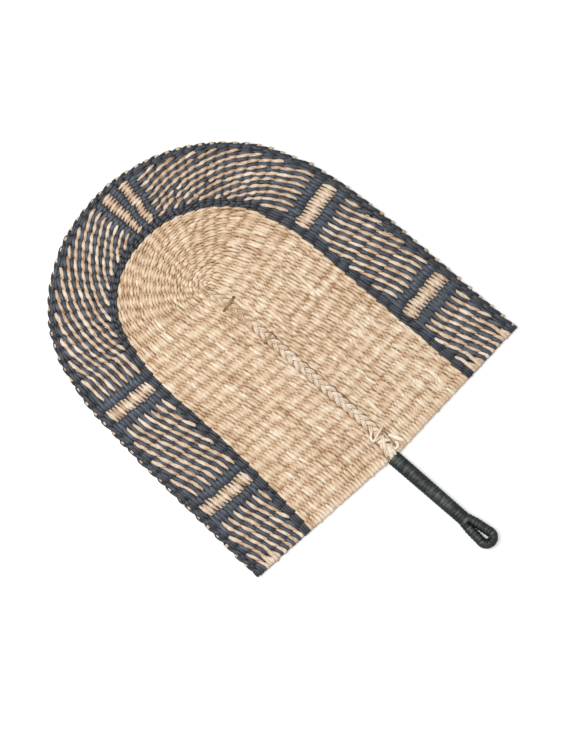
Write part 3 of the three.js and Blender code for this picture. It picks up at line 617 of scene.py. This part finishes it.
# Plait: three strands of three pale straws each, laid flat on the spine from the crown to the foot. Its
# ties hold it down. As far as the second it lies deep among the stitches, and below that it stands full
# on top of them.
PLAIT_DROPS, PLAIT_POINTS = (0.5, 210.8), 166
PLAIT_PERIOD = 22.8
PLAIT_SWING, TOP_SWING = 2.9, 0.9
PLAIT_LEVEL = 7.15
PLAIT_WAVE = 1.2
TOP_SINK, FOOT_SINK = 2.2, 1.2
PLAIT_RISES, PLAIT_FILLS, PLAIT_LIGHTENS, FOOT_SINKS = (35, 72), (40, 75), (35, 75), (204, PLAIT_DROPS[1])
PLAIT_HALF_WIDTH, PLAIT_HALF_THICKNESS = 0.62, 0.5
PLAIT_STRAW_PITCH, MIDDLE_STRAW_RISE = 1.05, 0.2
STRAW_DRIFT, DRIFT_LENGTHS = 0.12, (5, 9)
PLAIT_TONE, PLAIT_TONE_JITTER = 0.6, 0.08
STRAW_FLECK, FLECK_LENGTHS = 0.12, (4, 8)
FULL_PLAIT_LIGHT, UNDER_SHADE, UNDER_LEVEL = 0.32, 0.4, -0.3

plait_straws = []
drops = np.linspace(*PLAIT_DROPS, PLAIT_POINTS)
fullness = between(TOP_SWING, 1, eased(drops, *PLAIT_FILLS))
lightened = FULL_PLAIT_LIGHT * eased(drops, *PLAIT_LIGHTENS)
sunk = TOP_SINK * (1 - eased(drops, *PLAIT_RISES)) + FOOT_SINK * eased(drops, *FOOT_SINKS)
for strand in range(3):
    phase = 2 * math.pi * ((drops - PLAIT_DROPS[0]) / PLAIT_PERIOD + strand / 3)
    path = np.column_stack((spine_x(-drops) + PLAIT_SWING * fullness * np.sin(phase), -drops,
                            PLAIT_LEVEL - sunk + PLAIT_WAVE * np.sin(2 * phase)))
    along = np.gradient(path, axis=0)
    across = np.cross(along, UP)
    across /= np.linalg.norm(across, axis=1)[:, None]
    under = np.sin(2 * phase) < UNDER_LEVEL
    for straw in (-1, 0, 1):
        drift = STRAW_DRIFT * np.sin(drops / random.uniform(*DRIFT_LENGTHS) + random.uniform(*ANY_PHASE))
        points = path + across * (PLAIT_STRAW_PITCH * straw * fullness + drift)[:, None]
        points = points + UP * (MIDDLE_STRAW_RISE if straw == 0 else 0)
        # Painted light where the plait stands full on the stitches, painted shade where a strand passes
        # under.
        tones = random.normal(PLAIT_TONE, PLAIT_TONE_JITTER) + lightened
        tones = tones + STRAW_FLECK * np.sin(drops / random.uniform(*FLECK_LENGTHS)) - UNDER_SHADE * under
        plait_straws.append((points, UP, PLAIT_HALF_WIDTH, PLAIT_HALF_THICKNESS, tones))
# Deep painted shade along the straws' edges, between the straws of a strand.
strand_piece("plait_straws", plait_straws, "natural_grass", natural_grass,
             "plait_strand_01", "plait_strand_02", "plait_strand_03", edge_shade=0.8)


# Plait ties: brown straws that cross the plait at the crown and a little lower and go down into the weave,
# and at the foot a pale straw whose ends are knotted and curl up.
TIE_TOP, TIE_FOOT = 9.7, 4.4
TIE_POINTS, END_POINTS, CURL_POINTS = 17, 14, 22
TIE_SLOPE, TIE_SHADE, TIE_GAP, TIE_SINK = 0.8, 0.6, 0.5, 0.15
TIE_HALF_WIDTH, TIE_HALF_THICKNESS = 0.6, 0.5
TIES = ({"drop": 21, "reach": 8.0, "tone": 0.7, "lift": -2.0},
        {"drop": 65, "reach": 6.2, "tone": 0.95, "lift": -0.2})
KNOT_DROP, KNOT_REACH, KNOT_SLOPE = 189, 8.4, 1.5
KNOT_HALF_WIDTH, END_HALF_THICKNESS = 1.2, 0.6
KNOT_LOOP = ((2.4, -183, 8.2), (-9.5, -190, 9.6), (3.2, -191.5, 7.8))
CURL_MIDDLE, CURL_RADIUS, CURL_HALF_WIDTH = (6.5, -205.6), 2.9, 1.1
CURL_START, CURL_SWEEP, CURL_LEVEL, CURL_RISE = 110, 280, 6.2, 1.2

# The free ends of the knot, flat as leaves and narrower at both ends: where each starts, bends and ends, its
# half width and its tone.
FREE_ENDS = (((-1.8, -194, 7.6), (4.5, -195, 10.4), (7.0, -200.5, 6.6), 1.8, 0.95),
             ((6.0, -192.5, 7.4), (2.0, -197, 10.6), (-1.8, -202, 6.8), 1.7, 0.85),
             ((9.6, -196, 4.6), (12.4, -202, 6.4), (14.8, -210.5, 4.0), 2.2, 1.0),
             ((3.5, -200.5, 7.6), (0.5, -206, 8.8), (-4.8, -212.4, 4.6), 2.1, 0.95),
             ((3.4, -202, 7.0), (2.4, -207, 8.2), (0.6, -212.4, 6.0), 1.8, 0.85))

# Old brown straw: darker than the rest, dull.
brown_straw = grass("brown_straw", "#4f3824", "#8c6d4c", "#bd9c74", "#4a3320", 0.5, 0.6)


def tie(drop, reach, slope, lift=0.0):
    share = np.linspace(-1, 1, TIE_POINTS)
    x = spine_x(-drop) + reach * share
    z = TIE_FOOT + (TIE_TOP + lift - TIE_FOOT) * np.cos(share * math.pi / 2) ** 0.5
    return np.column_stack((x, -drop + slope * share, z))


for number, place in enumerate(TIES, 1):
    # Painted shade: each tie darkens towards its ends, where it goes down into the weave.
    shades = place["tone"] - TIE_SHADE * np.abs(np.linspace(-1, 1, TIE_POINTS)) ** 3
    pair = []
    for gap in (-TIE_GAP, TIE_GAP):
        line = tie(place["drop"] + gap, place["reach"], TIE_SLOPE, place["lift"] - TIE_SINK)
        pair.append((line, UP, TIE_HALF_WIDTH, TIE_HALF_THICKNESS, shades))
    strand_piece(f"plait_tie_{number:02}_straws", pair, "natural_grass", brown_straw,
                 f"plait_tie_{number:02}")


def fold(start, bend, end):
    """A short stretch of straw, bent once."""
    share = np.linspace(0, 1, END_POINTS)[:, None]
    bent = np.array(start) * (1 - share) ** 2 + 2 * np.array(bend) * share * (1 - share)
    return bent + np.array(end) * share ** 2


# One end has curled up into most of a ring.
angle = np.radians(np.linspace(CURL_START, CURL_START + CURL_SWEEP, CURL_POINTS))
curl = np.column_stack((CURL_MIDDLE[0] + CURL_RADIUS * np.cos(angle),
                        CURL_MIDDLE[1] + CURL_RADIUS * np.sin(angle),
                        CURL_LEVEL + CURL_RISE * np.sin(np.linspace(0, math.pi, CURL_POINTS))))
knot = [(tie(KNOT_DROP, KNOT_REACH, KNOT_SLOPE), UP, KNOT_HALF_WIDTH, TIE_HALF_THICKNESS, 0.75),
        (fold(*KNOT_LOOP), UP, KNOT_HALF_WIDTH, END_HALF_THICKNESS, 0.9),
        (curl, UP, CURL_HALF_WIDTH, TIE_HALF_THICKNESS, 0.95)]
leaf = np.sin(np.linspace(0.6, 2.6, END_POINTS))
for start, bend, end, half_width, tone in FREE_ENDS:
    knot.append((fold(start, bend, end), UP, half_width * leaf, END_HALF_THICKNESS, tone))
strand_piece("foot_knot", knot, "natural_grass", natural_grass, "plait_tie_03")


# Handle binding and loop binding: one dark strip, wound tight round both legs of the bundle from the foot of
# the blade to the throat, and then round the fold, where the turns crowd together inside the bend.
HANDLE_WIDTHS = (13.4, 12.4)
HANDLE_SWELL = 25
HANDLE_START, HANDLE_OVERRUN = 0.4, 3.6
HANDLE_TURNS, LOOP_TURNS, TURN_STEPS = 26, 19, 16
HANDLE_STRIP, LOOP_STRIP = 0.62, 0.56
HANDLE_TONE, LOOP_TONE, TURN_TONE_JITTER = 0.8, 0.7, 0.1
HANDLE_SQUARENESS, SIDE_SHADE_POWER = 0.75, 1.3
STRIP_HALF_THICKNESS = 0.65
LOOP_START = 2.6
LOOP_WOUND_RADII, LOOP_FILLS = (3.7, 4.45), 8

# Bound strip: dyed greenish black, matt, with the straw showing in places. The tones of its turns paint it
# greyer on top and darker at the sides: painted light and shade.
bound_strip = grass("bound_strip", "#08090b", "#272b2d", "#5c635c", "#6b4a2c", 0.3, 0.5, ior=1.36)


def winding(turns):
    """The turns so far along a winding, and where in its turn each point lies, to the side and up."""
    turn = np.linspace(0, turns, turns * TURN_STEPS + 1)
    return turn, np.cos(2 * math.pi * turn), np.sin(2 * math.pi * turn)


def turn_tones(turn, turns, tone, to_side):
    """One tone for each turn, with painted shade that makes it darker towards the sides."""
    each = random.normal(tone, TURN_TONE_JITTER, turns + 1)
    return each[np.floor(turn).astype(int)] - tone * np.abs(to_side) ** SIDE_SHADE_POWER


turn, cosine, sine = winding(HANDLE_TURNS)
y = np.linspace(-FOOT_DROP + HANDLE_START, THROAT - HANDLE_OVERRUN, len(turn))
pitch = (y[0] - y[-1]) / HANDLE_TURNS
down = np.clip((-FOOT_DROP - y) / HANDLE_LENGTH, 0, 1)
thickness = between(*HANDLE_THICKNESSES, np.clip((-FOOT_DROP - y) / HANDLE_SWELL, 0, 1))
past_throat = np.maximum(THROAT - y, 0) * math.tan(LEG_SLOPE)
half_width = between(*HANDLE_WIDTHS, down) / 2 + past_throat - STRIP_HALF_THICKNESS
half_height = thickness / 2 - STRIP_HALF_THICKNESS
to_side = np.sign(cosine) * np.abs(cosine) ** HANDLE_SQUARENESS
points = np.column_stack((spine_x(y) + half_width * to_side, y, thickness / 2 + half_height * sine))
outward = np.column_stack((to_side * half_height, 0 * y, sine * half_width))
tones = turn_tones(turn, HANDLE_TURNS, HANDLE_TONE, to_side)
handle_strip = [(points, outward, HANDLE_STRIP * pitch, STRIP_HALF_THICKNESS, tones)]
strand_piece("handle_winding", handle_strip, "binding", bound_strip, "handle_binding", edge_shade=0.06)

turn, cosine, sine = winding(LOOP_TURNS)
distance = np.linspace(LOOP_START, LOOP_PATH - LOOP_START, len(turn))
pitch = (distance[-1] - distance[0]) / LOOP_TURNS
from_throat = np.minimum(distance, LOOP_PATH - distance)
wound_radius = between(*LOOP_WOUND_RADII, eased(from_throat, LOOP_START, LOOP_START + LOOP_FILLS))
middles, outs = (np.array(part) for part in zip(*[loop_place(along) for along in distance]))
outward = outs * cosine[:, None] + UP * sine[:, None]
points = middles + outward * (wound_radius - STRIP_HALF_THICKNESS)[:, None]
crowded = np.where(from_throat > LEG_LENGTH, 1 + (wound_radius / LOOP_RADIUS) * cosine, 1)
tones = turn_tones(turn, LOOP_TURNS, LOOP_TONE, cosine)
loop_strip = [(points, outward, LOOP_STRIP * pitch * crowded, STRIP_HALF_THICKNESS, tones)]
strand_piece("loop_winding", loop_strip, "binding", bound_strip, "loop_binding", edge_shade=0.15)


# Stage: a plain white floor under the fan, soft light from above and the upper left, and a camera that
# looks straight down with the fan turned so that its handle points to the lower right.
FLOOR_SIZE, FLOOR_Y, FLOOR_Z = 1500, -100, -0.3
FLOOR_GLOW = 0.35
ROOM_LIGHT = 0.55
LAMP_PLACE, LAMP_TILT = (-350, 450, 1500), (-17, -13, 0)
LAMP_SIZE, LAMP_POWER = 900, 17
VIEW_HEIGHT = 629.9
VIEW_MIDDLE = (-6.7, -94.3)
HANDLE_BELOW_LEVEL = 41
CAMERA_HEIGHT = 2200
SENSOR = 36


def seen_itself(tree):
    """1 where a surface is seen, directly, mirrored or through another, and 0 where it lights others."""
    rays = add(tree, "ShaderNodeLightPath")
    seen = add(tree, "ShaderNodeMath", {0: rays.outputs["Is Camera Ray"], 1: rays.outputs["Is Glossy Ray"]},
               operation="MAXIMUM")
    seen = add(tree, "ShaderNodeMath", {0: seen.outputs[0], 1: rays.outputs["Is Transmission Ray"]},
               operation="MAXIMUM")
    return seen.outputs[0]


bpy.ops.object.select_all(action="DESELECT")
bpy.ops.mesh.primitive_plane_add(size=FLOOR_SIZE * MM, location=(0, FLOOR_Y * MM, FLOOR_Z * MM))
floor = bpy.context.object
floor.name = "floor"
floor.data.transform(floor.matrix_world)
floor.matrix_world.identity()

# White paper: matt, and a little brighter to the eye than the light that it throws back.
paper, tree, shader = start_material("white_paper")
glow = add(tree, "ShaderNodeMath", {0: seen_itself(tree), 1: FLOOR_GLOW}, operation="MULTIPLY")
shader.inputs["Base Color"].default_value = linear("#e8e8e8")
shader.inputs["Roughness"].default_value = 0.9
shader.inputs["Emission Color"].default_value = linear("#ffffff")
tree.links.new(glow.outputs[0], shader.inputs["Emission Strength"])
floor.data.materials.append(paper)

world = bpy.data.worlds.new("studio")
bpy.context.scene.world = world
world.use_nodes = True
tree = world.node_tree
strength = add(tree, "ShaderNodeMapRange", {"Value": seen_itself(tree), "To Min": ROOM_LIGHT,
                                            "To Max": 1.0})
tree.nodes["Background"].inputs["Color"].default_value = linear("#ffffff")
tree.links.new(strength.outputs["Result"], tree.nodes["Background"].inputs["Strength"])

bpy.ops.object.light_add(type="AREA", location=[value * MM for value in LAMP_PLACE])
lamp = bpy.context.object
lamp.data.energy = LAMP_POWER
lamp.data.size = LAMP_SIZE * MM
lamp.rotation_euler = np.radians(LAMP_TILT)

camera_data = bpy.data.cameras.new("camera")
camera = bpy.data.objects.new("camera", camera_data)
bpy.context.collection.objects.link(camera)
camera_data.sensor_fit = "VERTICAL"
camera_data.sensor_height = SENSOR
camera_data.lens = SENSOR * (CAMERA_HEIGHT - BLADE_MIDDLE) / VIEW_HEIGHT
camera.location = (VIEW_MIDDLE[0] * MM, VIEW_MIDDLE[1] * MM, CAMERA_HEIGHT * MM)
camera.rotation_euler = (0, 0, math.radians(HANDLE_BELOW_LEVEL - 90))
bpy.context.scene.camera = camera
bpy.context.scene.view_settings.view_transform = "Standard"
